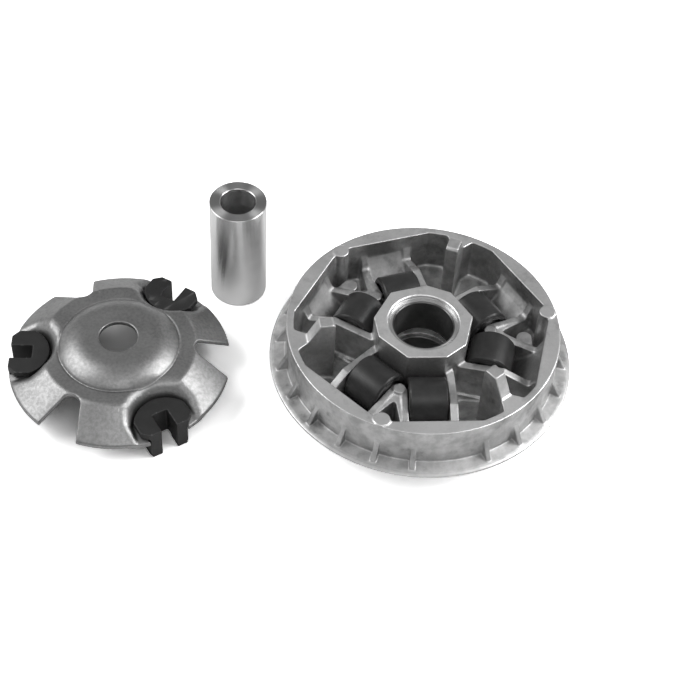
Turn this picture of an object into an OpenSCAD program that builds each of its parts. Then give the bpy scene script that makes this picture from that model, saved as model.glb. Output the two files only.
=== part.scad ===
// Variator set of a scooter's belt drive, laid out in pieces: movable drive face
// with its six rollers, boss, and ramp plate with three slider guides.
// All axes stand upright. The origin is the drive face's axis on the ground plane.

/* [Layout] */
// Position of the boss axis along X
boss_x = -86.6; // [-96:0.1:-84]
// Position of the boss axis along Y
boss_y = 49; // [46:0.1:60]
// Position of the ramp plate's axis along X
plate_x = -133.4; // [-150:0.1:-125]
// Position of the ramp plate's axis along Y
plate_y = -10.9; // [-20:0.1:-5]
// Direction of the first roller pair
pair_angle = 13.5; // [0:0.5:119]
// Direction of the first slider guide
guide_angle = 64.6; // [0:0.1:119]

/* [Drive face] */
// Outer radius of the belt flange
flange_r = 67.4; // [66.5:0.1:70]
// Height of the flange's sharp edge above the ground
flange_edge_z = 15.9; // [15.5:0.1:16.5]
// Half-cone angle of the belt face against the horizontal
belt_angle = 14; // [13:0.1:14.5]
// Thickness of the cast floor
floor_t = 2.8; // [2.4:0.1:3]
// Outer radius of the ring wall
ring_r = 60.3; // [60:0.1:61]
// Radius of the ring wall's round inner stretches
ring_bore_r = 57; // [56.8:0.1:57.5]
// Distance from the axis to the ring wall's six inner flats
ring_flat = 53; // [53:0.1:53.4]
// Height of the ring wall
ring_top = 37.1; // [36:0.1:38]
// Number of equal gusset places round the ring wall
gusset_places = 24; // [18:6:30]
// Height of a gusset where it meets the ring wall
gusset_h = 8; // [6:0.5:11]
// Height of the hub
hub_top = 39.3; // [39:0.1:41]
// Distance from the axis to the hub flats behind the rollers
hub_flat = 20.4; // [20.2:0.05:20.5]
// Height of the guide posts
post_top = 46.5; // [40:0.5:48]
// Thickness of a guide post
post_w = 5.6; // [5:0.1:6]

/* [Rollers] */
// Outer radius of a roller
roller_r = 10.5; // [10.2:0.05:10.5]
// Length of a roller
roller_l = 17; // [16:0.1:17]
// Angle between a pair's middle and each of its rollers
pair_spread = 22.8; // [22.8:0.05:23.2]
// Radius of a roller's metal core
core_r = 7.6; // [7:0.1:8]
// Radius of the core's hole
core_hole_r = 4; // [3:0.1:5]
// Radius of the path that a roller's axis follows
swing_r = 22.7; // [22.6:0.05:22.8]
// Lean of a resting roller from its path's lowest point
rest_lean = 21; // [20.8:0.1:21.5]

/* [Boss and bushes] */
// Outer radius of the boss
boss_r = 13; // [12.8:0.01:13]
// Bore radius of the boss
boss_bore_r = 8.03; // [7:0.01:9]
// Length of the boss
boss_l = 56; // [40:0.5:70]
// Running clearance between boss and bushes, on the radius
running_gap = 0.04; // [0.02:0.01:0.08]
// Radius of the hub's bore, which is the bushes' outer radius
hub_bore_r = 15.5; // [15:0.1:15.8]

/* [Ramp plate] */
// Rim radius of the ramp plate
plate_r = 49.2; // [48.8:0.1:50]
// Height of the rim's upper edge
plate_rim_z = 11.7; // [11.5:0.1:12]
// Height of the flat ring round the dome
plate_ring_z = 21.4; // [21:0.1:22]
// Height of the dome above the flat ring
dome_h = 5.5; // [4:0.1:7]
// Radius of the dome's foot
dome_r = 26.7; // [26:0.1:27.5]
// Radius of the dome's centre hole
plate_hole_r = 8.4; // [8:0.05:10]
// Thickness of the sheet, measured upright
sheet_t = 2.3; // [2:0.1:2.5]

/* [Slider guides] */
// Height of a guide's flat top
guide_top = 15.8; // [15:0.1:17]
// Half width of a guide's cap
guide_half_w = 12.2; // [11.5:0.1:12.4]
// Half width of the slot that runs on a guide post
slot_half_w = 3.6; // [3:0.05:3.7]

/* [Hidden] */
$fn = 96;
roller_count = 6;
guide_count = 3;

eps = 0.01;
cut = 1;
above = 60;

// Belt face: a cone from the hub's end up to the flange edge.
belt_slope = tan(belt_angle);
hub_end_r = 19;
belt_foot_r = 20;
belt_foot_h = 0.4;
rim_band = 1.2;
bead_w = 1.9;
bead_h = 0.6;
flange_rise = 0.8;
function belt_z(r) = flange_edge_z - (flange_r - r) * belt_slope;
function floor_z(r) = belt_z(r) + floor_t;
flange_top_z = flange_edge_z + rim_band + bead_h + flange_rise;
// Everything that stands on the floor starts here and is cut off at the belt face.
base_z = -1;

// Roller tracks: each roller's axis swings about a level line across its track.
pivot_r = 23;
pivot_z = 43.73;
side_gap = 0.3;
ramp_gap = 0.3;
track_half_w = roller_l / 2 + side_gap;
track_wall = 2.6;
rest_r = pivot_r + swing_r * sin(rest_lean);
rest_z = pivot_z - swing_r * cos(rest_lean);
wall_foot_z = 28.5;
wall_top = 29.8;
wall_knee_r = 38.5;
wall_low = 24.8;
wall_end_r = 49.3;
ramp_end_z = 30;
ledge_w = 2.4;
ledge_z = 11.4;
ledge_end_r = 38;
pair_angles = [for (k = [0:2]) pair_angle + 120 * k];
post_shift = 0.6;
post_angles = [for (a = pair_angles) a + 60 + post_shift];
roller_angles = [for (a = pair_angles, s = [-1, 1]) a + s * pair_spread];

// Hub outline: a flat behind each roller, and one facing each guide post.
hub_post_flat = 21.3;
hub_sides = [
    for (a = pair_angles)
        each [[a - pair_spread, hub_flat], [a + pair_spread, hub_flat], [a + 60, hub_post_flat]]
];
function corner(p, q) =
    [p[1] * sin(q[0]) - q[1] * sin(p[0]), q[1] * cos(p[0]) - p[1] * cos(q[0])] / sin(q[0] - p[0]);
function outline(sides) =
    [for (i = [0:len(sides) - 1]) corner(sides[i], sides[(i + 1) % len(sides)])];

// Flare of the hub's foot into the floor, as [radius, height].
hub_foot = [[27.6, base_z], [27.6, 7.4], [24.6, 10.6], [23, 13.4], [22, 17], [21.2, 21]];

// V-shaped rib between the two tracks of a pair.
rib_top = 29;
rib_knee_r = 33;
rib_knee_z = 28;
rib_low = 23.8;
rib_nose_r = 2.7;
rib_nose_at = 31.2;
rib_start = 30.2;
pocket_tip = 36.5;
pocket_end = 54;
track_bite = 0.8;
relief_at = 22.4;
relief_half_w = 6;
relief_over = 0.4;
relief_z = 10.9;
step_z = 11.2;
step_end = 31.6;
step_start = 12;
step_half_w = 12.6;
function track_side(at, half_w) = (at * sin(pair_spread) - half_w) / cos(pair_spread);

// Guide posts between the pairs.
post_in = 39.9;
post_out = 46.7;
post_crease = 51.8;
post_bevel = 1.1;
web_end = 57.6;
web_spread = 3.8;
pad_r = 3.6;
pad_at = 56.3;
pad_rise = 0.4;
tongue_r = 3.5;
tongue_z = 23.2;
tongue_from = [46.4, 6.5];
tongue_to = [47.2, 1.6];
tongue_sides = [-1, 1, -1];

// Gussets behind the ring wall; one place stays empty.
gusset_t = 2.3;
gusset_end = 65.4;
empty_place = 18;

// Bushes in the hub's bore.
bush_top = 37.3;
bush_step = 20.3;
bush_low_top = 14;
bush_r = boss_r + running_gap;
bush_chamfer = 0.4;
bore_chamfer = 0.6;

// Rollers.
sleeve_chamfer = 0.7;
core_recess = 0.7;
core_chamfer = 0.4;

// Ramp plate profile, worked out as heights over the radius.
dome_flat_r = 14;
dome_power = 2.2;
skirt_r = 34;
bend_r = 4;
skirt_angle = atan((plate_ring_z - plate_rim_z) / (plate_r - skirt_r));
bend_at = skirt_r - bend_r * tan(skirt_angle / 2);
function dome_z(r) =
    plate_ring_z + dome_h * (1 - pow(max(0, r - dome_flat_r) / (dome_r - dome_flat_r), dome_power));
dome_points = [for (i = [0:10]) let (r = dome_flat_r + (dome_r - dome_flat_r) * i / 10) [r, dome_z(r)]];
bend_points = [
    for (i = [0:4])
        let (a = 90 - skirt_angle * i / 4)
            [bend_at + bend_r * cos(a), plate_ring_z - bend_r + bend_r * sin(a)]
];
skirt_over = 4;
skirt_end = [plate_r + skirt_over, plate_rim_z - skirt_over * tan(skirt_angle)];

// Notches between the guides: a round arch that flares towards the rim.
notch_r = 4.8;
notch_at = 38.2;
notch_foot_at = 37;
notch_foot_w = 4.6;
notch_mouth_at = 53;
notch_mouth_w = 11.8;

// Pocket that a slider guide sits in.
pocket_at = 44.5;
seat_r = 14;
seat_half_w = 12.8;
seat_z = 12.6;
seat_draft = 0.26;
leg_gap = 0.2;

// Slider guide.
cap_r = 13.5;
guide_out = 48.4;
corner_cut = 3.2;
slot_in = 38.6;
neck_in = 36.8;
neck_half_w = 8.8;
neck_low = 1.6;
leg_top = 5;
leg_half_w = 8.5;
leg_in = 41.5;
lip_half_w = 10.8;
lip_t = 2.2;
lip_in = 38;
lip_out = 45.5;
lip_gap = 0.2;
barb = 0.9;
barb_h = 2.6;

// Turns the children to a direction round the axis.
module towards(angle) {
    rotate([0, 0, angle]) children();
}

// Upright slab across the direction +X, from an outline of [distance, height].
module slab(outline, half_w) {
    translate([0, half_w, 0]) rotate([90, 0, 0]) linear_extrude(2 * half_w) polygon(outline);
}

// Everything above the belt face and inside the rim: bounds the drive face.
module envelope() {
    rotate_extrude()
        polygon([
            [0, 0],
            [hub_end_r, 0],
            [hub_end_r, belt_z(belt_foot_r) - belt_foot_h],
            [belt_foot_r, belt_z(belt_foot_r)],
            [flange_r, flange_edge_z],
            [flange_r, above],
            [0, above]
        ]);
}

// Upper side of the flange and the floor inside the ring wall.
module flange_and_floor() {
    rotate_extrude()
        polygon([
            [hub_bore_r - 1, base_z],
            [flange_r + 1, base_z],
            [flange_r + 1, flange_edge_z + rim_band],
            [flange_r, flange_edge_z + rim_band],
            [flange_r - bead_w, flange_edge_z + rim_band + bead_h],
            [ring_r, flange_top_z],
            [ring_bore_r + 1, flange_top_z],
            [ring_bore_r + 1, floor_z(ring_bore_r + 1)],
            [hub_bore_r - 1, floor_z(hub_bore_r - 1)]
        ]);
}

// Ring wall with six flats inside, each square to a roller's direction.
module ring_wall() {
    flats = [for (a = roller_angles) [a, ring_flat]];
    difference() {
        translate([0, 0, base_z]) cylinder(r = ring_r, h = ring_top - base_z);
        intersection() {
            translate([0, 0, base_z - cut]) cylinder(r = ring_bore_r, h = above);
            translate([0, 0, base_z - 2 * cut]) linear_extrude(above) polygon(outline(flats));
        }
    }
}

// Ramp and side walls of one track, before the track is cut. The wall beside the
// other track of the pair lies on the side that side points to, and is lower.
module track_block(side) {
    half = (track_half_w + track_wall) / 2;
    foot = [[ring_flat + 1, base_z], [hub_end_r, base_z]];
    ledge_half = (track_half_w + track_wall + ledge_w) / 2;
    ramp_end = [[ring_flat - 2.6, wall_low], [ring_flat - 0.2, ramp_end_z], [ring_flat + 1, ramp_end_z]];
    translate([0, -side * half, 0])
        slab(concat(
            [[hub_end_r, wall_foot_z], [wall_knee_r, wall_top], [wall_end_r, wall_low]],
            ramp_end,
            foot
        ), half + cut);
    translate([0, side * half, 0])
        slab(concat(
            [[hub_end_r, rib_top], [rib_knee_r, rib_knee_z], [wall_end_r, rib_low]],
            ramp_end,
            foot
        ), half);
    translate([0, -side * ledge_half, 0])
        slab([
            [hub_end_r, base_z],
            [hub_end_r, ledge_z],
            [ledge_end_r, ledge_z],
            [ledge_end_r, base_z]
        ], ledge_half);
}

// Space of one track: straight sides, and a floor that follows the roller's swing.
module track_space() {
    intersection() {
        translate([hub_end_r - 1, -track_half_w, 0]) cube([ring_r, 2 * track_half_w, above]);
        translate([pivot_r, 0, pivot_z])
            rotate([90, 0, 0])
                cylinder(r = swing_r + roller_r + ramp_gap, h = 3 * track_half_w, center = true);
    }
}

// V-shaped rib with a rounded nose, filling the gap between a pair's tracks.
module pair_rib() {
    near = track_side(rib_start, track_half_w - track_bite);
    far = track_side(pocket_end, track_half_w - track_bite);
    pocket = track_side(pocket_end, track_half_w + track_wall);
    intersection() {
        translate([0, 0, base_z])
            linear_extrude(above)
                polygon([
                    [rib_start, -near],
                    [pocket_end, -far],
                    [pocket_end, -pocket],
                    [pocket_tip, 0],
                    [pocket_end, pocket],
                    [pocket_end, far],
                    [rib_start, near]
                ]);
        slab([
            [rib_start - 1, base_z],
            [rib_start - 1, rib_top],
            [rib_knee_r, rib_knee_z],
            [wall_end_r, rib_low],
            [pocket_end, rib_low],
            [pocket_end, base_z]
        ], flange_r);
    }
    translate([rib_nose_at, 0, base_z]) cylinder(r = rib_nose_r, h = rib_top - base_z);
}

// Low step beside the hub, shared by the two tracks of a pair.
module track_step() {
    sides = [
        [-pair_spread, step_end],
        [pair_spread, step_end],
        [90 + pair_spread, step_half_w],
        [180, -step_start],
        [270 - pair_spread, step_half_w]
    ];
    translate([0, 0, base_z]) linear_extrude(step_z - base_z) polygon(outline(sides));
}

// Space between the rollers of a pair and the hub, above a low floor.
module nose_relief() {
    translate([relief_at, -relief_half_w, relief_z])
        cube([rib_start - relief_at + relief_over, 2 * relief_half_w, above]);
}

// Hub with nine flats.
module hub() {
    translate([0, 0, base_z]) linear_extrude(hub_top - base_z) polygon(outline(hub_sides));
}

// Round foot on which the hub flares into the floor.
module hub_flare() {
    rotate_extrude()
        polygon(concat(
            [[hub_bore_r + 1, hub_foot[0][1]]],
            hub_foot,
            [[hub_bore_r + 1, hub_foot[len(hub_foot) - 1][1]]]
        ));
}

// Hub's bore with a chamfer at its upper end.
module hub_bore() {
    rotate_extrude()
        polygon([
            [0, -1],
            [hub_bore_r, -1],
            [hub_bore_r, hub_top - bore_chamfer],
            [hub_bore_r + 2 * bore_chamfer, hub_top + bore_chamfer],
            [0, hub_top + bore_chamfer]
        ]);
}

// Guide post with a web to the ring wall and a wider root there.
module guide_post() {
    half = post_w / 2;
    slab([
        [post_in, base_z],
        [post_in, post_top - post_bevel],
        [post_in + post_bevel, post_top],
        [post_out, post_top],
        [post_crease, ring_top],
        [web_end, ring_top],
        [web_end, base_z]
    ], half);
    translate([0, 0, base_z])
        linear_extrude(ring_top - base_z)
            polygon([
                [post_crease, -half],
                [web_end, -half - web_spread],
                [web_end, half + web_spread],
                [post_crease, half]
            ]);
}

// Thin triangular gusset between the ring wall and the flange.
module gusset() {
    slab([
        [ring_r - 0.6, flange_top_z + gusset_h],
        [ring_r + 0.3, flange_top_z + gusset_h],
        [gusset_end, flange_top_z - 2 * flange_rise],
        [ring_r - 0.6, flange_top_z - 2 * flange_rise]
    ], gusset_t / 2);
}

// Round column under a raised pad on the ring wall.
module pad_column() {
    translate([pad_at, 0, base_z]) cylinder(r = pad_r, h = ring_top + pad_rise - base_z);
}

// Low tongue that reaches from one leg of the rib into the pocket between the legs.
module tongue(side) {
    from = [tongue_from[0], side * tongue_from[1]];
    to = [tongue_to[0], side * tongue_to[1]];
    across = [from[1] - to[1], to[0] - from[0]] * tongue_r / norm(to - from);
    translate([0, 0, base_z])
        linear_extrude(tongue_z - base_z) {
            polygon([from + across, from - across, to - across, to + across]);
            translate(to) circle(r = tongue_r);
        }
}

module drive_face() {
    color("silver")
        difference() {
            intersection() {
                envelope();
                union() {
                    flange_and_floor();
                    ring_wall();
                    hub();
                    difference() {
                        union() {
                            hub_flare();
                            for (a = pair_angles, s = [-1, 1]) towards(a + s * pair_spread) track_block(-s);
                        }
                        for (a = pair_angles) towards(a) nose_relief();
                        for (a = roller_angles) towards(a) track_space();
                    }
                    difference() {
                        for (k = [0:2]) towards(pair_angles[k]) {
                            pair_rib();
                            tongue(tongue_sides[k]);
                        }
                        for (a = roller_angles) towards(a) track_space();
                    }
                    for (a = pair_angles) {
                        towards(a) track_step();
                        towards(a) pad_column();
                    }
                    for (a = post_angles) towards(a) guide_post();
                    for (i = [0:gusset_places - 1])
                        if (i != empty_place) towards(pair_angle + i * 360 / gusset_places) gusset();
                }
            }
            hub_bore();
        }
}

// Plain bush with a chamfer at the upper end of its bore.
module bush(from, to) {
    color("dimgray")
        rotate_extrude()
            polygon([
                [bush_r, from],
                [hub_bore_r, from],
                [hub_bore_r, to],
                [bush_r + bush_chamfer, to],
                [bush_r, to - bush_chamfer]
            ]);
}

// Brings a shape that is turned about the level Y axis to a roller's rest place.
module at_roller(k) {
    towards(roller_angles[k - 1]) translate([rest_r, 0, rest_z]) rotate([90, 0, 0]) children();
}

module roller_sleeve(k) {
    half = roller_l / 2;
    color("black")
        at_roller(k)
            rotate_extrude()
                polygon([
                    [core_r, -half],
                    [roller_r - sleeve_chamfer, -half],
                    [roller_r, -half + sleeve_chamfer],
                    [roller_r, half - sleeve_chamfer],
                    [roller_r - sleeve_chamfer, half],
                    [core_r, half]
                ]);
}

module roller_core(k) {
    half = roller_l / 2 - core_recess;
    color("gray")
        at_roller(k)
            rotate_extrude()
                polygon([
                    [core_hole_r, -half + core_chamfer],
                    [core_hole_r + core_chamfer, -half],
                    [core_r, -half],
                    [core_r, half],
                    [core_hole_r + core_chamfer, half],
                    [core_hole_r, half - core_chamfer]
                ]);
}

module boss() {
    outer = 0.5;
    inner = 0.6;
    color("lightsteelblue")
        translate([boss_x, boss_y, 0])
            rotate_extrude()
                polygon([
                    [boss_bore_r, inner],
                    [boss_bore_r + inner, 0],
                    [boss_r - outer, 0],
                    [boss_r, outer],
                    [boss_r, boss_l - outer],
                    [boss_r - outer, boss_l],
                    [boss_bore_r + inner, boss_l],
                    [boss_bore_r, boss_l - inner]
                ]);
}

// Solid under the plate's upper face, from an inner radius outwards, lowered by drop.
module plate_solid(from, drop) {
    translate([0, 0, -drop])
        rotate_extrude()
            polygon(concat(
                [[from, -above], [from, plate_ring_z + dome_h]],
                dome_points,
                bend_points,
                [skirt_end, [skirt_end[0], -above]]
            ));
}

// Space of a guide's pocket: a round inner end and straight sides, all with draft.
module pocket_space(grow) {
    z0 = seat_z - grow;
    up = above - z0;
    translate([0, 0, z0]) {
        intersection() {
            translate([pocket_at, 0, 0])
                cylinder(r1 = seat_r + grow, r2 = seat_r + grow + up * seat_draft, h = up);
            rotate([90, 0, 90])
                linear_extrude(pocket_at)
                    polygon([
                        [-seat_half_w - grow, 0],
                        [seat_half_w + grow, 0],
                        [seat_half_w + grow + up * seat_draft, up],
                        [-seat_half_w - grow - up * seat_draft, up]
                    ]);
        }
        translate([pocket_at - eps, 0, 0])
            rotate([90, 0, 90])
                linear_extrude(2 * skirt_over + plate_r - pocket_at)
                    polygon([
                        [-seat_half_w - grow, 0],
                        [seat_half_w + grow, 0],
                        [seat_half_w + grow + up * seat_draft, up],
                        [-seat_half_w - grow - up * seat_draft, up]
                    ]);
    }
}

// Cut for a notch between two guides.
module notch() {
    translate([notch_at, 0, -1]) cylinder(r = notch_r, h = above);
    translate([0, 0, -1])
        linear_extrude(above)
            polygon([
                [notch_foot_at, -notch_foot_w],
                [notch_mouth_at, -notch_mouth_w],
                [notch_mouth_at, notch_mouth_w],
                [notch_foot_at, notch_foot_w]
            ]);
}

module ramp_plate() {
    color("slategray")
        translate([plate_x, plate_y, 0])
            difference() {
                intersection() {
                    difference() {
                        plate_solid(plate_hole_r, 0);
                        for (k = [0:guide_count - 1]) towards(guide_angle + 120 * k) pocket_space(0);
                    }
                    cylinder(r = plate_r, h = above);
                }
                difference() {
                    plate_solid(0, sheet_t);
                    for (k = [0:guide_count - 1]) towards(guide_angle + 120 * k) pocket_space(sheet_t);
                }
                for (k = [0:guide_count - 1]) {
                    towards(guide_angle + 60 + 120 * k) notch();
                    towards(guide_angle + 120 * k)
                        translate([neck_in - leg_gap, -neck_half_w - leg_gap, -1])
                            cube([plate_r, 2 * (neck_half_w + leg_gap), above]);
                }
            }
}

// Outline of a guide's cap: round inner end, straight sides, cut outer corners.
module cap_outline() {
    intersection() {
        translate([pocket_at, 0]) circle(r = cap_r);
        polygon([
            [0, -guide_half_w],
            [guide_out - corner_cut, -guide_half_w],
            [guide_out, -guide_half_w + corner_cut],
            [guide_out, guide_half_w - corner_cut],
            [guide_out - corner_cut, guide_half_w],
            [0, guide_half_w]
        ]);
    }
}

module slider_guide(k) {
    lip_z = seat_z - sheet_t - lip_gap - lip_t;
    color("black")
        translate([plate_x, plate_y, 0])
            towards(guide_angle + 120 * (k - 1))
                difference() {
                    union() {
                        translate([0, 0, seat_z]) linear_extrude(guide_top - seat_z) cap_outline();
                        translate([neck_in, -neck_half_w, neck_low])
                            cube([guide_out - neck_in, 2 * neck_half_w, seat_z - neck_low + eps]);
                        translate([lip_in, -lip_half_w, lip_z])
                            cube([lip_out - lip_in, 2 * lip_half_w, lip_t]);
                        translate([leg_in, -leg_half_w, 0])
                            cube([guide_out - leg_in, 2 * leg_half_w, leg_top]);
                        rotate([90, 0, 90])
                            translate([0, 0, leg_in + 1])
                                linear_extrude(guide_out - leg_in - 2)
                                    polygon([
                                        [-leg_half_w, 0.4],
                                        [leg_half_w, 0.4],
                                        [leg_half_w + barb, barb_h - 1],
                                        [leg_half_w, barb_h],
                                        [-leg_half_w, barb_h],
                                        [-leg_half_w - barb, barb_h - 1]
                                    ]);
                    }
                    translate([slot_in, -slot_half_w, -1]) cube([guide_out, 2 * slot_half_w, above]);
                }
}

drive_face();
bush(bush_step, bush_top);  // hub_bush_upper
bush(0, bush_low_top);  // hub_bush_lower
for (k = [1:roller_count]) roller_sleeve(k);
for (k = [1:roller_count]) roller_core(k);
boss();
ramp_plate();
for (k = [1:guide_count]) slider_guide(k);
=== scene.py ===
"""Looks for a variator set laid out in pieces: drive face with rollers, boss, ramp plate with guides."""
import math

import bpy
import numpy as np
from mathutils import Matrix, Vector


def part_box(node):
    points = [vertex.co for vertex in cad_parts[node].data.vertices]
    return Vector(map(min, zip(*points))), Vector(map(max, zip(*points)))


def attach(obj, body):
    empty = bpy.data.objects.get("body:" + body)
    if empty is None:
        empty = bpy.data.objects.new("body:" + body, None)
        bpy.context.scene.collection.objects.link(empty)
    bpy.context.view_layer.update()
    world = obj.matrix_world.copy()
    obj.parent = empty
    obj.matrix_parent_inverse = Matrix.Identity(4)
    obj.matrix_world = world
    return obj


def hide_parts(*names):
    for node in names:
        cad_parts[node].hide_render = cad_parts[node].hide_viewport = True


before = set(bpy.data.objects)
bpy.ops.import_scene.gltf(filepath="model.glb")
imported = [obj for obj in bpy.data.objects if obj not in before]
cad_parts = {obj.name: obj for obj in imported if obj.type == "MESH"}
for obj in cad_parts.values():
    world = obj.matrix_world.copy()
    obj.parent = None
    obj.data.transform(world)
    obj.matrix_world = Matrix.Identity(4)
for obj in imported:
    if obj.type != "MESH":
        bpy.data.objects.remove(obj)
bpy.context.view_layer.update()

import openvdb as vdb
from mathutils import Matrix, Vector

MM = 0.001
# Sizes below are in mm, from the CAD part's own numbers, unless a comment says otherwise.
PLATE = (-133.4, -10.9)         # axis of the ramp plate
GUIDE_ANGLES = (64.6, 184.6, 304.6)
SKIN_VOXEL = 0.28
# most triangles per piece
CASTING_FACES = 190_000
SHEET_FACES = 170_000
GUIDE_FACES = 36_000
FLAT_WEIGHT = 80                # how much the large faces decide a smooth normal
# drive face
INNER_FILLET = 1.0
WALL_MIDDLE = 58.6              # radius inside the ring wall's thickness
# ramp plate: profile, hole, pockets and notches
PLATE_R, RIM_Z, RING_Z = 49.2, 11.7, 21.4
SKIRT_R, BEND_R = 34.0, 4.0
DOME_H, DOME_R, DOME_FLAT = 5.5, 26.7, 14.0
FOOT_GROOVE, FOOT_WIDTH = 0.3, 0.5
HOLE_R, SHEET, SHEET_EDGE = 8.4, 2.3, 0.6
POCKET_AT, SEAT_R, SEAT_HALF, SEAT_Z, SEAT_DRAFT = 44.5, 14.0, 12.8, 12.6, 0.26
RIDGE = 5.0                     # blend width of the ridges round the pockets
NECK_IN, NECK_HALF = 36.6, 9.0
NOTCH_AT, NOTCH_R = 38.2, 4.8
NOTCH_FOOT, NOTCH_FOOT_HALF = 37.0, 4.6
NOTCH_MOUTH, NOTCH_MOUTH_HALF = 53.0, 11.8
DOME_POWER, POCKET_BLEND = 2.2, 0.8
# slider guides
GUIDE_FILLET, GUIDE_EDGE = 0.3, 0.25
# boss and bushes
BOSS_BORE_R, BORE_CHAMFER, END_CHAMFER, CHAMFER_ROUND = 8.03, 0.35, 0.3, 0.1
BUSH_BORE_R, BUSH_CHAMFER = 13.04, 0.4
# rollers: a sleeve with a core pressed in
ROLLER_HALF, ROLLER_R, CORE_R, CORE_HOLE_R = 8.5, 10.5, 7.6, 4.0
CORE_RECESS, CORE_CHAMFER, ROLLER_CHAMFER = 0.7, 0.4, 0.75


# ---------------------------------------------------------------- geometry

def cad_triangles(node):
    """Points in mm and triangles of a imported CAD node."""
    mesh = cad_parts[node].data
    mesh.calc_loop_triangles()
    points = np.zeros(len(mesh.vertices) * 3, np.float32)
    mesh.vertices.foreach_get("co", points)
    corners = np.zeros(len(mesh.loop_triangles) * 3, np.int32)
    mesh.loop_triangles.foreach_get("vertices", corners)
    return points.reshape(-1, 3) / MM, corners.reshape(-1, 3).astype(np.uint32)


def level_set(points, triangles, voxel, reach):
    """Distances to a closed surface on a sparse grid, known out to a reach in samples."""
    return vdb.FloatGrid.createLevelSetFromPolygons(
        np.ascontiguousarray(points, np.float32), triangles=triangles,
        transform=vdb.createLinearTransform(voxelSize=voxel), halfWidth=reach)


def polygons(grid, distance):
    """Points and triangles of the surface where the grid holds a distance."""
    points, tris, quads = grid.convertToPolygons(isovalue=distance, adaptivity=0.0)
    faces = np.concatenate([tris, quads[:, [0, 1, 2]], quads[:, [0, 2, 3]]])
    return points, faces.astype(np.uint32)


def offset(points, triangles, distance, voxel):
    """The surface at a distance outside the given one; a negative distance lies inside."""
    return polygons(level_set(points, triangles, voxel, abs(distance) / voxel + 2.5), distance)


def moulded_skin(node, voxel, fillet, edge):
    """A CAD node's surface with filleted inner corners and rounded outer edges, radii in mm."""
    points, faces = cad_triangles(node)
    for distance in (fillet, -fillet, -edge, edge):
        points, faces = offset(points, faces, distance, voxel)
    return points, faces


class Field:
    """A dense block of signed distances in mm over a box, and the surface at its zero."""

    MARGIN = 4      # samples outside the box, and how far the distances reach

    def __init__(self, low, high, voxel):
        self.voxel = voxel
        self.start = np.floor(np.asarray(low, float) / voxel).astype(int) - self.MARGIN
        self.shape = np.ceil(np.asarray(high, float) / voxel).astype(int) + self.MARGIN + 1 - self.start
        self.corner = tuple(int(v) for v in self.start)

    def axes(self):
        """Coordinates of the samples along X, Y and Z, shaped to be combined."""
        x, y, z = ((self.start[i] + np.arange(self.shape[i])) * self.voxel for i in range(3))
        return (x[:, None, None].astype(np.float32), y[None, :, None].astype(np.float32),
                z[None, None, :].astype(np.float32))

    def sample(self, points, faces, reach=MARGIN):
        """Distances to a closed surface, cut off some samples away from it."""
        block = np.empty(tuple(self.shape), np.float32)
        level_set(points, faces, self.voxel, reach).copyToArray(block, ijk=self.corner)
        return block

    def surface(self, block):
        """Points and triangles where the block's distances are zero."""
        limit = self.MARGIN * self.voxel
        grid = vdb.FloatGrid(limit)
        grid.transform = vdb.createLinearTransform(voxelSize=self.voxel)
        block = np.clip(block, -limit, limit)
        grid.copyFromArray(np.ascontiguousarray(block, np.float32), ijk=self.corner)
        return polygons(grid, 0.0)


def softened(block):
    """Distances averaged with their neighbours, which rounds sharp edges by about one sample."""
    for axis in range(3):
        out = block.copy()
        middle, before, after = ([slice(None)] * 3 for _ in range(3))
        middle[axis], before[axis], after[axis] = slice(1, -1), slice(0, -2), slice(2, None)
        out[tuple(middle)] = block[tuple(middle)] / 2 + (block[tuple(before)] + block[tuple(after)]) / 4
        block = out
    return block


def smooth_max(a, b, width):
    """The larger of two distances, blended over a width."""
    near = np.maximum(width - np.abs(a - b), 0) / width
    return np.maximum(a, b) + near * near * width / 4


def new_object(name, data):
    """An object in the scene."""
    obj = bpy.data.objects.new(name, data)
    bpy.context.scene.collection.objects.link(obj)
    return obj


def mesh_object(name, points, faces, keep_faces):
    """A smooth-shaded object from points in mm, thinned to at most keep_faces triangles."""
    mesh = bpy.data.meshes.new(name)
    points, faces = np.asarray(points, np.float32) * MM, np.asarray(faces)[:, ::-1].astype(np.int32)
    mesh.vertices.add(len(points))
    mesh.vertices.foreach_set("co", points.ravel())
    mesh.loops.add(faces.size)
    mesh.loops.foreach_set("vertex_index", faces.ravel())
    mesh.polygons.add(len(faces))
    mesh.polygons.foreach_set("loop_start", np.arange(0, faces.size, 3, dtype=np.int32))
    mesh.update(calc_edges=True)
    mesh.validate()
    obj = new_object(name, mesh)
    mesh.shade_smooth()
    if len(mesh.polygons) > keep_faces:
        thin = obj.modifiers.new("thin", "DECIMATE")
        thin.ratio = keep_faces / len(mesh.polygons)
    flats = obj.modifiers.new("flats", "WEIGHTED_NORMAL")
    flats.mode, flats.weight = "FACE_AREA", FLAT_WEIGHT
    bpy.context.view_layer.update()
    evaluated = obj.evaluated_get(bpy.context.evaluated_depsgraph_get())
    obj.data = bpy.data.meshes.new_from_object(evaluated)
    obj.modifiers.clear()
    bpy.data.meshes.remove(mesh)
    obj.data.name = name
    # thinning can push a corner a few micrometres below the floor
    corners = np.empty(len(obj.data.vertices) * 3, np.float32)
    obj.data.vertices.foreach_get("co", corners)
    corners[2::3] = np.maximum(corners[2::3], 0)
    obj.data.vertices.foreach_set("co", corners)
    return obj


SHARP = math.radians(50)


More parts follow.
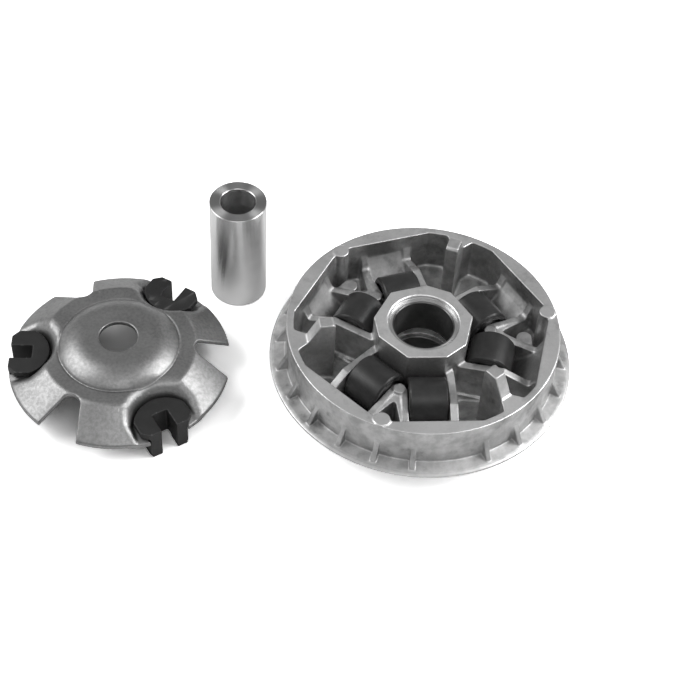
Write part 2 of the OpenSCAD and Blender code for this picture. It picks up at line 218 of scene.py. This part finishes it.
def lathe(name, profile, steps=160):
    """A turned ring about Z through the local origin, from a closed profile of (radius, height) in mm."""
    profile = np.asarray(profile, float)
    n = len(profile)
    angles = np.arange(steps) * 2 * math.pi / steps
    points = np.stack([
        np.outer(np.cos(angles), profile[:, 0]),
        np.outer(np.sin(angles), profile[:, 0]),
        np.outer(np.ones(steps), profile[:, 1])], axis=-1).reshape(-1, 3)
    faces = []
    for i in range(steps):
        a, b = i * n, (i + 1) % steps * n
        for j in range(n):
            k = (j + 1) % n
            faces.append((a + j, b + j, b + k, a + k))
    mesh = bpy.data.meshes.new(name)
    mesh.from_pydata((points * MM).tolist(), [], faces)
    mesh.validate()
    obj = new_object(name, mesh)
    mesh.shade_smooth()
    mesh.set_sharp_from_angle(angle=SHARP)
    return obj


def rounded(corners, radii, steps=5):
    """A closed outline with each corner rounded by its radius."""
    out = []
    count = len(corners)
    for i, (corner, radius) in enumerate(zip(corners, radii)):
        p = Vector(corner)
        if radius <= 0:
            out.append(tuple(p))
            continue
        a = (Vector(corners[i - 1]) - p).normalized()
        b = (Vector(corners[(i + 1) % count]) - p).normalized()
        half = a.angle(b) / 2
        reach = radius / math.tan(half)
        centre = p + (a + b).normalized() * radius / math.sin(half)
        start, end = p + a * reach - centre, p + b * reach - centre
        turn = start.angle_signed(end)
        for s in range(steps + 1):
            c = start.copy()
            c.rotate(Matrix.Rotation(-turn * s / steps, 2))
            out.append(tuple(centre + c))
    return out


# ---------------------------------------------------------------- materials

class Graph:
    """Short names for the node calls that the materials share."""

    def __init__(self, name):
        self.material = bpy.data.materials.new(name)
        self.material.use_nodes = True
        self.nodes = self.material.node_tree.nodes
        self.links = self.material.node_tree.links
        self.shader = self.nodes["Principled BSDF"]
        self.coords = self.nodes.new("ShaderNodeTexCoord").outputs["Object"]

    def put(self, socket, value):
        if isinstance(value, bpy.types.NodeSocket):
            self.links.new(value, socket)
        else:
            socket.default_value = value

    def set(self, **values):
        for key, value in values.items():
            self.put(self.shader.inputs[key.replace("_", " ")], value)

    def math(self, operation, a, b=0.0, clamp=False):
        node = self.nodes.new("ShaderNodeMath")
        node.operation, node.use_clamp = operation, clamp
        self.put(node.inputs[0], a)
        self.put(node.inputs[1], b)
        return node.outputs[0]

    def noise(self, scale, detail=3.0, roughness=0.55, coords=None, stretch=None):
        node = self.nodes.new("ShaderNodeTexNoise")
        node.inputs["Scale"].default_value = scale
        node.inputs["Detail"].default_value = detail
        node.inputs["Roughness"].default_value = roughness
        vector = coords or self.coords
        if stretch:
            scaling = self.nodes.new("ShaderNodeMapping")
            scaling.inputs["Scale"].default_value = stretch
            self.links.new(vector, scaling.inputs["Vector"])
            vector = scaling.outputs[0]
        self.links.new(vector, node.inputs["Vector"])
        return node.outputs["Fac"]

    def band(self, value, low, high, to_low=0.0, to_high=1.0):
        node = self.nodes.new("ShaderNodeMapRange")
        node.interpolation_type = "SMOOTHSTEP"
        self.put(node.inputs["Value"], value)
        for key, v in (("From Min", low), ("From Max", high), ("To Min", to_low), ("To Max", to_high)):
            self.put(node.inputs[key], v)
        return node.outputs["Result"]

    def mix(self, factor, a, b):
        node = self.nodes.new("ShaderNodeMix")
        node.data_type = "RGBA"
        self.put(node.inputs["Factor"], factor)
        for socket, value in ((node.inputs[6], a), (node.inputs[7], b)):
            self.put(socket, (value,) * 3 + (1,) if isinstance(value, float) else value)
        return node.outputs[2]

    def bump(self, height, strength, distance, normal=None):
        node = self.nodes.new("ShaderNodeBump")
        node.inputs["Strength"].default_value = strength
        node.inputs["Distance"].default_value = distance
        self.links.new(height, node.inputs["Height"])
        if normal:
            self.links.new(normal, node.inputs["Normal"])
        return node.outputs[0]

    def cylinder_coords(self):
        """Radius from the local Z axis, and height, in metres."""
        split = self.nodes.new("ShaderNodeSeparateXYZ")
        self.links.new(self.coords, split.inputs[0])
        x, y, z = split.outputs
        square = self.math("ADD", self.math("MULTIPLY", x, x), self.math("MULTIPLY", y, y))
        return self.math("SQRT", square), z

    def along_x(self, value):
        """A point at a distance along X, to feed a texture that varies one way only."""
        node = self.nodes.new("ShaderNodeCombineXYZ")
        self.links.new(value, node.inputs[0])
        return node.outputs[0]

    def worn(self, low, high):
        """1 on outer edges, 0 elsewhere."""
        geometry = self.nodes.new("ShaderNodeNewGeometry")
        return self.band(geometry.outputs["Pointiness"], low, high)

    def normal_z(self):
        """How far the surface looks along the piece's own Z axis."""
        split = self.nodes.new("ShaderNodeSeparateXYZ")
        self.links.new(self.coords.node.outputs["Normal"], split.inputs[0])
        return split.outputs[2]


def grey(value):
    return (value, value, value, 1.0)


# The masks on the casting are in metres, like the shader's coordinates.
HUB_TOP_Z, HUB_TOP_R, HUB_BORE_R = 0.0390, 0.0235, 0.0163
RIM_R, RIM_BOTTOM_Z = 0.0660, 0.0140
RING_TOP_LOW, RING_TOP_HIGH = 0.0369, 0.0376
CAVITY_R, CAVITY_LOW, CAVITY_HIGH = 0.054, 0.012, 0.030
BELT_SLOPE = math.tan(math.radians(14))
BELT_APEX = 0.0159 - 0.0674 * BELT_SLOPE       # height of the belt cone's tip


def machined_mask(g, radius, height, upward):
    """1 on the casting's turned faces: hub top, bore, flange rim, ring top and belt face."""
    hub = g.math("MULTIPLY", g.band(height, HUB_TOP_Z, HUB_TOP_Z + 0.0002),
                 g.band(radius, HUB_TOP_R, HUB_TOP_R + 0.001, 1.0, 0.0))
    bore = g.band(radius, HUB_BORE_R, HUB_BORE_R + 0.0004, 1.0, 0.0)
    rim = g.math("MULTIPLY", g.band(radius, RIM_R, RIM_R + 0.0004),
                 g.band(height, RIM_BOTTOM_Z, RIM_BOTTOM_Z + 0.001, 0.0, 0.7))
    ring = g.math("MULTIPLY", g.band(height, RING_TOP_LOW, RING_TOP_LOW + 0.0001),
                  g.band(height, RING_TOP_HIGH, RING_TOP_HIGH + 0.0001, 1.0, 0.0))
    ring = g.math("MULTIPLY", g.math("MULTIPLY", ring, upward), 0.9)
    # the belt face is a cone that rises outwards under the casting
    cone = g.math("ADD", g.math("MULTIPLY", radius, BELT_SLOPE), BELT_APEX)
    belt = g.band(g.math("SUBTRACT", height, cone), 0.0002, 0.0006, 1.0, 0.0)
    mask = g.math("MAXIMUM", g.math("MAXIMUM", hub, bore), g.math("MAXIMUM", rim, ring))
    return g.math("MAXIMUM", mask, belt)


def cast_aluminium():
    """Mottled casting with lighter turned faces, painted shade on the cavity floors, and stains."""
    g = Graph("cast_aluminium")
    radius, height = g.cylinder_coords()
    mottle = g.noise(170, 5, 0.6)
    grain = g.noise(2600, 3, 0.6)
    flow = g.noise(45, 3, 0.5)
    stains = g.noise(75, 4, 0.7)
    upward = g.band(g.normal_z(), 0.6, 0.9)
    turned = machined_mask(g, radius, height, upward)
    cast = g.band(mottle, 0.32, 0.7, 0.40, 0.56)
    cast = g.math("ADD", cast, g.band(flow, 0.3, 0.7, -0.07, 0.07))
    # painted shade: upward faces inside the ring wall are darkened, more so towards the cavity floor
    inside = g.math("MULTIPLY", upward, g.band(radius, CAVITY_R, CAVITY_R + 0.004, 1.0, 0.0))
    painted_cavity_shade = g.math("MULTIPLY", inside, g.band(height, CAVITY_LOW, CAVITY_HIGH, 0.16, 0.0))
    cast = g.math("SUBTRACT", cast, painted_cavity_shade)
    cast = g.math("ADD", cast, g.math("MULTIPLY", g.worn(0.53, 0.62), 0.06))
    machined = g.math("ADD", g.band(mottle, 0.3, 0.7, 0.74, 0.92), g.band(flow, 0.3, 0.7, -0.07, 0.07))
    tone = g.math("MAXIMUM", cast, g.math("MULTIPLY", turned, machined))
    tone = g.math("SUBTRACT", tone, g.band(stains, 0.54, 0.68, 0.0, 0.13), clamp=True)
    rough = g.math("SUBTRACT", g.band(mottle, 0.3, 0.7, 0.56, 0.46), g.math("MULTIPLY", turned, 0.14))
    g.set(Base_Color=g.mix(tone, 0.0, 1.0), Metallic=1.0, Roughness=rough)
    rings = g.noise(1.0, 2, 0.5, stretch=(9000.0,) * 3, coords=g.along_x(radius))
    relief = g.math("ADD", g.math("MULTIPLY", grain, 0.35), mottle)
    normal = g.bump(relief, 0.25, 0.0003)
    g.set(Normal=g.bump(g.math("MULTIPLY", rings, turned), 0.25, 0.00005, normal))
    return g.material


def sheet_steel():
    """Dull pressed sheet with fine mottling and paler edges."""
    g = Graph("sheet_steel")
    mottle = g.noise(700, 4, 0.6)
    patch = g.noise(60, 3, 0.5)
    grain = g.noise(3000, 2, 0.6)
    tone = g.math("ADD", g.band(mottle, 0.3, 0.7, 0.24, 0.31), g.band(patch, 0.3, 0.7, -0.03, 0.03))
    tone = g.math("ADD", tone, g.math("MULTIPLY", g.worn(0.53, 0.62), 0.15), clamp=True)
    g.set(Base_Color=g.mix(tone, 0.0, 1.0), Metallic=1.0, Roughness=g.band(mottle, 0.3, 0.7, 0.45, 0.40))
    normal = g.bump(grain, 0.12, 0.0002)
    g.set(Normal=g.bump(mottle, 0.2, 0.0003, normal))
    return g.material


def turned_steel(name, tone, roughness, stretch, end_roughness, painted_end_shading=0.0, rim=None):
    """Turned metal whose grooves run round Z, with a given amount of painted shade added to its level end
    faces; rim is a radius in metres outside which level faces get a painted highlight.
    """
    g = Graph(name)
    radius, height = g.cylinder_coords()
    along = g.noise(1.0, 3, 0.6, stretch=(7000.0, 1.0, 1.0), coords=g.along_x(height))
    across = g.noise(1.0, 3, 0.6, stretch=(9000.0, 1.0, 1.0), coords=g.along_x(radius))
    level = g.math("ABSOLUTE", g.normal_z())
    flat = g.band(level, 0.6, 0.9)
    marks = g.math("ADD", g.math("MULTIPLY", across, flat),
                   g.math("MULTIPLY", along, g.math("SUBTRACT", 1.0, flat)))
    mottle = g.noise(120, 3, 0.5)
    colour = g.math("ADD", g.band(marks, 0.3, 0.7, tone - 0.05, tone + 0.05),
                    g.band(mottle, 0.3, 0.7, -0.03, 0.03))
    # painted shade: the level end faces are made darker than the body by a given amount
    colour = g.math("ADD", colour, g.math("MULTIPLY", flat, painted_end_shading))
    if rim:
        # painted highlight on the level ends of the bushes; the lower bush gets only a thin one
        start = g.band(height, 0.016, 0.018, rim + 0.0014, rim)     # by the lower and the upper bush
        painted_highlight = g.math("MULTIPLY", flat, g.band(g.math("SUBTRACT", radius, start), 0.0, 0.0003))
        colour = g.math("ADD", colour, g.math("MULTIPLY", painted_highlight, 0.4))
    rough = g.math("ADD", g.band(marks, 0.3, 0.7, roughness - 0.04, roughness + 0.05),
                   g.math("MULTIPLY", flat, end_roughness - roughness))
    g.set(Base_Color=g.mix(colour, 0.0, 1.0), Metallic=1.0, Roughness=rough)
    g.set(Anisotropic=stretch, Anisotropic_Rotation=0.25)
    tangent = g.nodes.new("ShaderNodeTangent")
    tangent.direction_type, tangent.axis = "RADIAL", "Z"
    g.set(Tangent=tangent.outputs[0])
    g.set(Normal=g.bump(marks, 0.12, 0.00003))
    return g.material


def nylon(name, tone, roughness):
    """Dark slider plastic."""
    g = Graph(name)
    grain = g.noise(2500, 3, 0.6)
    mottle = g.noise(220, 3, 0.5)
    colour = g.band(mottle, 0.3, 0.7, tone * 0.8, tone * 1.3)
    colour = g.math("ADD", colour, g.math("MULTIPLY", g.worn(0.51, 0.6), 0.05))
    g.set(Base_Color=g.mix(colour, 0.0, 1.0),
          Roughness=g.band(grain, 0.3, 0.7, roughness - 0.06, roughness + 0.06))
    g.set(Normal=g.bump(grain, 0.15, 0.0001))
    return g.material


MATERIALS = {
    "cast_aluminium": cast_aluminium(),
    # rim is the radius outside which the bush ends get a painted highlight
    "bush_lining": turned_steel("bush_lining", 0.15, 0.35, 0.8, 0.35, rim=0.0136),
    "roller_nylon": nylon("roller_nylon", 0.017, 0.38),
    "core_metal": turned_steel("core_metal", 0.25, 0.4, 0.8, 0.4),
    # the last number is painted shade on the boss's level end faces
    "ground_steel": turned_steel("ground_steel", 0.76, 0.22, 0.95, 0.44, -0.37),
    "sheet_steel": sheet_steel(),
    "guide_nylon": nylon("guide_nylon", 0.009, 0.55),
}


def dress(obj, slot, body, *nodes):
    """Material, body and the CAD nodes that a piece stands for."""
    obj.data.materials.clear()
    obj.data.materials.append(MATERIALS[slot])
    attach(obj, body)
    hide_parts(*nodes)
    return obj


# ---------------------------------------------------------------- pieces

def build_drive_face():
    """Fillets in the corners inside the ring wall; edges slightly rounded everywhere."""
    cad = cad_triangles("drive_face")
    field = Field(cad[0].min(axis=0), cad[0].max(axis=0), SKIN_VOXEL)
    grown = offset(*cad, INNER_FILLET, SKIN_VOXEL)
    inside = field.sample(*grown, reach=INNER_FILLET / SKIN_VOXEL + 4) + INNER_FILLET
    outside = field.sample(*cad)
    x, y, z = field.axes()
    share = np.clip(WALL_MIDDLE + 0.5 - np.hypot(x, y), 0, 1)
    points, faces = field.surface(softened(outside + share * (inside - outside)))
    obj = mesh_object("drive_face_casting", points, faces, CASTING_FACES)
    dress(obj, "cast_aluminium", "drive_face", "drive_face")


def plate_height(radius):
    """Upper face of the ramp plate without its pockets: dome, flat ring, bend and skirt."""
    slope = (RING_Z - RIM_Z) / (PLATE_R - SKIRT_R)
    angle = math.atan(slope)
    bend_start = SKIRT_R - BEND_R * math.tan(angle / 2)
    bend_end = bend_start + BEND_R * math.sin(angle)
    dome = RING_Z + DOME_H * (1 - (np.maximum(0, radius - DOME_FLAT) / (DOME_R - DOME_FLAT)) ** DOME_POWER)
    bend = RING_Z - BEND_R + np.sqrt(np.maximum(BEND_R ** 2 - np.maximum(0, radius - bend_start) ** 2, 0))
    skirt = RIM_Z + (PLATE_R - radius) * slope
    outer = np.where(radius < bend_end, np.where(radius < bend_start, RING_Z, bend), skirt)
    return np.maximum(dome, outer) - FOOT_GROOVE * np.exp(-((radius - DOME_R) / FOOT_WIDTH) ** 2)


def pocket(u, v, z, grow):
    """Distance to the space of a guide's pocket; u runs outwards along the guide, v across it."""
    side = np.abs(v) - SEAT_HALF
    end = np.where(u < POCKET_AT, np.hypot(u - POCKET_AT, v) - SEAT_R, -100)
    outline = np.maximum(side, end) - grow
    floor = SEAT_Z - grow
    wall = (outline - (z - floor) * SEAT_DRAFT) / math.hypot(1, SEAT_DRAFT)
    return smooth_max(wall, floor - z, POCKET_BLEND)


def build_ramp_plate():
    """Pressed sheet: the CAD part's shape with drawn, softly rounded ridges round the pockets."""
    cad = cad_triangles("ramp_plate")
    voxel = SKIN_VOXEL * 0.8
    field = Field(cad[0].min(axis=0), cad[0].max(axis=0), voxel)
    x, y, z = field.axes()
    x, y = x - PLATE[0], y - PLATE[1]
    radius = np.hypot(x, y)
    height = plate_height(radius)
    slopes = [np.gradient(height, voxel, axis=axis) for axis in (0, 1)]
    steep = np.sqrt(1 + (slopes[0] ** 2 + slopes[1] ** 2))
    top = (z - height) / steep
    bottom = (z - height + SHEET) / steep
    cut = np.maximum(radius - PLATE_R, HOLE_R - radius)
    for degrees in GUIDE_ANGLES:
        a = math.radians(degrees)
        u, v = x * math.cos(a) + y * math.sin(a), y * math.cos(a) - x * math.sin(a)
        top = smooth_max(top, -pocket(u, v, z, 0), RIDGE)
        bottom = smooth_max(bottom, -pocket(u, v, z, SHEET), RIDGE)
        neck = np.maximum(np.abs(v) - NECK_HALF, NECK_IN - u)
        a += math.pi / 3
        u, v = x * math.cos(a) + y * math.sin(a), y * math.cos(a) - x * math.sin(a)
        flare = (NOTCH_MOUTH_HALF - NOTCH_FOOT_HALF) / (NOTCH_MOUTH - NOTCH_FOOT)
        arch = np.hypot(u - NOTCH_AT, v) - NOTCH_R
        sides = np.maximum((np.abs(v) - NOTCH_FOOT_HALF - (u - NOTCH_FOOT) * flare) / math.hypot(1, flare),
                           NOTCH_FOOT - u)
        cut = np.maximum(cut, -np.minimum(neck, np.minimum(arch, sides)))
    sheet = np.maximum(top, -bottom)
    points, faces = field.surface(softened(smooth_max(sheet, cut, SHEET_EDGE)))
    obj = mesh_object("ramp_plate_sheet", points, faces, SHEET_FACES)
    dress(obj, "sheet_steel", "ramp_plate", "ramp_plate")


def build_guides():
    """One moulding, repeated round the plate's axis."""
    points, faces = moulded_skin("slider_guide_1", SKIN_VOXEL * 0.7, GUIDE_FILLET, GUIDE_EDGE)
    for k in (1, 2, 3):
        a = math.radians(GUIDE_ANGLES[k - 1] - GUIDE_ANGLES[0])
        x, y = points[:, 0] - PLATE[0], points[:, 1] - PLATE[1]
        turned = np.stack([PLATE[0] + x * math.cos(a) - y * math.sin(a),
                           PLATE[1] + x * math.sin(a) + y * math.cos(a), points[:, 2]], axis=1)
        node = f"slider_guide_{k}"
        obj = mesh_object(node + "_moulding", turned, faces, GUIDE_FACES)
        dress(obj, "guide_nylon", "ramp_plate", node)


def build_boss():
    """The steel sleeve, with narrow chamfers at both ends."""
    low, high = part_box("boss")
    length = (high.z - low.z) / MM
    outer = (high.x - low.x) / 2 / MM
    centre = (low + high) / 2
    mouth, shoulder = BOSS_BORE_R + BORE_CHAMFER, outer - END_CHAMFER
    profile = rounded(
        [(BOSS_BORE_R, BORE_CHAMFER), (mouth, 0), (shoulder, 0), (outer, END_CHAMFER),
         (outer, length - END_CHAMFER), (shoulder, length), (mouth, length),
         (BOSS_BORE_R, length - BORE_CHAMFER)],
        [CHAMFER_ROUND] * 8, 3)
    obj = lathe("boss_sleeve", profile, 192)
    obj.matrix_world = Matrix.Translation((centre.x, centre.y, 0))
    dress(obj, "ground_steel", "boss", "boss")


def build_bushes():
    """Thin linings in the hub's bore, chamfered at the top."""
    for node, name in (("hub_bush_upper", "upper_bush_lining"), ("hub_bush_lower", "lower_bush_lining")):
        low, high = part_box(node)
        outer = (high.x - low.x) / 2 / MM
        z0, z1 = low.z / MM, high.z / MM
        profile = rounded(
            [(BUSH_BORE_R, z0), (outer, z0), (outer, z1),
             (BUSH_BORE_R + BUSH_CHAMFER, z1), (BUSH_BORE_R, z1 - BUSH_CHAMFER)],
            [0, 0, 0.1, 0.1, 0.1], 2)
        dress(lathe(name, profile, 160), "bush_lining", "drive_face", node)


def roller_matrix(k):
    """Turns local Z onto a roller's level axis and moves the origin to its middle."""
    low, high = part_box(f"roller_core_{k}")
    centre = (low + high) / 2
    outward = math.atan2(centre.y, centre.x)
    turn = Matrix.Rotation(outward, 4, "Z") @ Matrix.Rotation(math.pi / 2, 4, "X")
    return Matrix.Translation(centre) @ turn


def mirrored(corners):
    """Corners of the lower half of a profile, and the same ones above the middle in reverse order."""
    return corners + [(radius, -z) for radius, z in reversed(corners)]


def build_rollers():
    """A black sleeve with rounded shoulders and a metal core set back in it."""
    half, end = ROLLER_HALF, ROLLER_HALF - CORE_RECESS
    sleeve = rounded(
        mirrored([(CORE_R, -half + 0.25), (CORE_R + 0.3, -half),
                  (ROLLER_R - ROLLER_CHAMFER, -half), (ROLLER_R, -half + ROLLER_CHAMFER)]),
        [0.08, 0.1, 0.5, 0.5, 0.5, 0.5, 0.1, 0.08], 4)
    insert = rounded(
        mirrored([(CORE_HOLE_R, -end + CORE_CHAMFER), (CORE_HOLE_R + CORE_CHAMFER, -end), (CORE_R, -end)]),
        [0.15, 0.15, 0.05, 0.05, 0.15, 0.15], 3)
    for k in range(1, 7):
        matrix = roller_matrix(k)
        for name, profile, slot, node in (
                ("sleeve", sleeve, "roller_nylon", f"roller_sleeve_{k}"),
                ("core", insert, "core_metal", f"roller_core_{k}")):
            obj = lathe(f"roller_{k}_{name}", profile, 128)
            obj.matrix_world = matrix
            dress(obj, slot, f"roller_{k}", node)


build_drive_face()
build_ramp_plate()
build_guides()
build_boss()
build_bushes()
build_rollers()


# ---------------------------------------------------------------- floor, light, camera

# Places are in metres.
FLOOR_HALF = 25.0
FLOOR_SEEN, FLOOR_REFLECTED = 2.0, 0.75
WORLD_STRENGTH = 0.36
AIM = (-0.04, 0, 0.02)
LIGHTS = (      # name, place, size, watts
    ("left_box", (-0.75, 0.05, 0.6), (0.55, 0.55), 4.2),
    ("right_box", (0.65, 0.05, 0.6), (0.55, 0.55), 6.2),
    ("front_box", (-0.04, -0.6, 0.95), (0.7, 0.4), 1.6),
)
# the camera solved from the photograph's circles
LENS, SENSOR = 80.53, 36
CAMERA = (-0.03137, -0.45584, 0.5512)
PITCH, ROLL = 49.5515, 4.2915   # degrees; the pitch is below level


def build_floor():
    """An over-exposed backdrop, dimmer in reflections, with a painted shadow under the ramp plate."""
    size = FLOOR_HALF
    mesh = bpy.data.meshes.new("studio_floor")
    corners = [(-size, -size, 0), (size, -size, 0), (size, size, 0), (-size, size, 0)]
    mesh.from_pydata(corners, [], [(0, 1, 2, 3)])
    floor = new_object("studio_floor", mesh)
    g = Graph("studio_floor")
    seen = g.nodes.new("ShaderNodeLightPath").outputs["Is Camera Ray"]
    split = g.nodes.new("ShaderNodeSeparateXYZ")
    g.links.new(g.coords, split.inputs[0])
    dx = g.math("SUBTRACT", split.outputs[0], PLATE[0] * MM)
    dy = g.math("SUBTRACT", split.outputs[1], PLATE[1] * MM)
    beside = g.math("SQRT", g.math("ADD", g.math("MULTIPLY", dx, dx), g.math("MULTIPLY", dy, dy)))
    # painted shadow: the floor the camera sees is darker near the ramp plate's axis
    camera_tone_and_painted_shadow = g.band(beside, 0.025, 0.055, 0.7, FLOOR_SEEN)
    g.set(Base_Color=g.mix(seen, FLOOR_REFLECTED, camera_tone_and_painted_shadow), Roughness=0.9, Specular_IOR_Level=0.0)
    away, _ = g.cylinder_coords()
    g.set(Emission_Color=grey(1.0), Emission_Strength=g.band(away, 0.15, 0.6, 0.0, 0.7))
    mesh.materials.append(g.material)


def area_light(name, place, size, power):
    data = bpy.data.lights.new(name, "AREA")
    data.shape = "RECTANGLE"
    data.size, data.size_y = size
    data.energy = power
    light = new_object(name, data)
    light.location = place
    light.rotation_mode = "QUATERNION"
    light.rotation_quaternion = (Vector(AIM) - Vector(place)).to_track_quat("-Z", "Y")


def build_light():
    world = bpy.data.worlds.new("studio")
    bpy.context.scene.world = world
    world.use_nodes = True
    background = world.node_tree.nodes["Background"]
    background.inputs["Color"].default_value = grey(1.0)
    background.inputs["Strength"].default_value = WORLD_STRENGTH
    for name, place, size, power in LIGHTS:
        area_light(name, place, size, power)


def build_camera():
    data = bpy.data.cameras.new("camera")
    data.lens, data.sensor_width = LENS, SENSOR
    camera = new_object("camera", data)
    camera.matrix_world = (
        Matrix.Translation(CAMERA)
        @ Matrix.Rotation(math.radians(90 - PITCH), 4, "X")
        @ Matrix.Rotation(math.radians(ROLL), 4, "Z"))
    bpy.context.scene.camera = camera
    bpy.context.scene.view_settings.view_transform = "Standard"


build_floor()
build_light()
build_camera()
